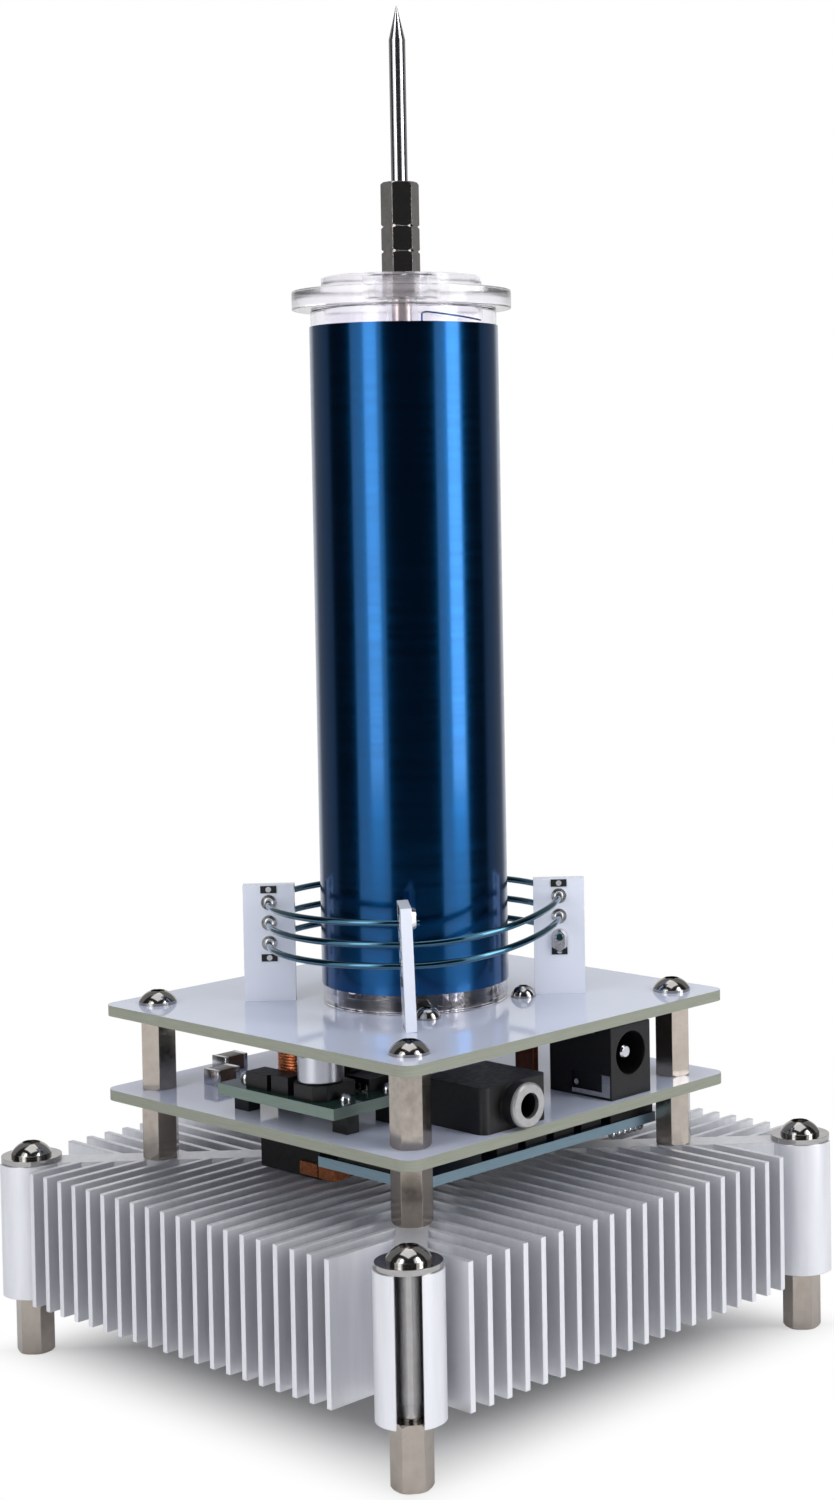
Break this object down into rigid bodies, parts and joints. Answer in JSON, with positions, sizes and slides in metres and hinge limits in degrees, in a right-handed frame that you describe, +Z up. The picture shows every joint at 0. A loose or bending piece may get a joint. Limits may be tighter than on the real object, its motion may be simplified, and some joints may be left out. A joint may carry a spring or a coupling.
{
  "type": "desktop resonant transformer",
  "caption": "Desktop resonant transformer: wound clear-tube coil with discharge needle, open primary winding on posts, stacked boards and a finned heat sink on hexagon legs.",
  "frame": {"origin": "on the table under the coil's axis, level with the feet's lower ends", "axes": "+Z up along the coil; both jacks face -Y; the converter module lies towards -X"},
  "size_m": [0.092, 0.092, 0.2014],
  "materials": {
    "bright_aluminium": "satin",
    "nickel": "polished",
    "dark_steel": "polished",
    "white_board": "gloss",
    "green_board": "gloss",
    "blue_board": "gloss",
    "clear_acrylic": "clear gloss",
    "blue_enamel": "glossy enamelled copper",
    "black_plastic": "matte",
    "solder": "bright",
    "can_aluminium": "satin",
    "copper": "bare copper",
    "ceramic_tan": "satin",
    "film_brown": "gloss"
  },
  "bodies": {
    "apparatus": {"heatsink": "bright_aluminium", "leg_standoffs": "nickel", "boss_washers": "nickel", "boss_screws": "nickel", "lower_standoffs": "nickel", "upper_standoffs": "nickel", "lower_board": "white_board", "upper_board": "white_board", "board_screws": "nickel", "coil_tube": "clear_acrylic", "secondary_winding": "blue_enamel", "coil_plug": "clear_acrylic", "plug_screws": "nickel", "terminal_screws": "nickel", "terminal_nuts": "nickel", "top_cap": "clear_acrylic", "cap_screw": "nickel", "cap_standoff": "nickel", "lead_lug": "solder", "top_lead": "blue_enamel", "primary_winding": "blue_enamel", "primary_posts": "white_board", "post_eyelets": "solder", "post_lands": "solder", "end_solder": "solder", "power_jack_housing": "black_plastic", "power_jack_pin": "nickel", "power_jack_contact": "solder", "audio_jack_housing": "black_plastic", "audio_jack_ring": "nickel", "audio_jack_contact": "solder", "converter_board": "green_board", "converter_spacers": "black_plastic", "converter_pins": "solder", "filter_can": "can_aluminium", "filter_can_base": "black_plastic", "inductor_core": "black_plastic", "inductor_winding": "copper", "converter_chips": "black_plastic", "switcher_legs": "solder", "chip_capacitors": "ceramic_tan", "film_capacitor": "film_brown", "driver_board": "blue_board", "driver_sockets": "black_plastic", "driver_chips": "black_plastic", "driver_joints": "solder", "coupling_block": "black_plastic", "coupling_tabs": "copper", "power_transistor": "black_plastic", "transistor_leads": "solder", "transistor_screw": "nickel"},
    "needle": {"discharge_needle": "nickel"},
    "holder": {"needle_holder": "nickel"},
    "nut": {"lock_nut": "nickel"}
  },
  "joints": [
    {"name": "needle_lift", "type": "slide", "parent": "apparatus", "child": "needle", "axis": [0, 0, 1], "range_m": [0, 0.003]},
    {"name": "holder_turn", "type": "hinge", "parent": "needle", "child": "holder", "pos_m": [-0.00018, 0.00017, 0.17], "axis": [0, 0, 1], "range_deg": [0, 2160]},
    {"name": "nut_turn", "type": "hinge", "parent": "apparatus", "child": "nut", "pos_m": [-0.00018, 0.00017, 0.1668], "axis": [0, 0, 1], "range_deg": [0, 180]}
  ],
  "couplings": [
    {"joint": "holder_turn", "follows": "needle_lift", "rad_per_m": 12566}
  ]
}
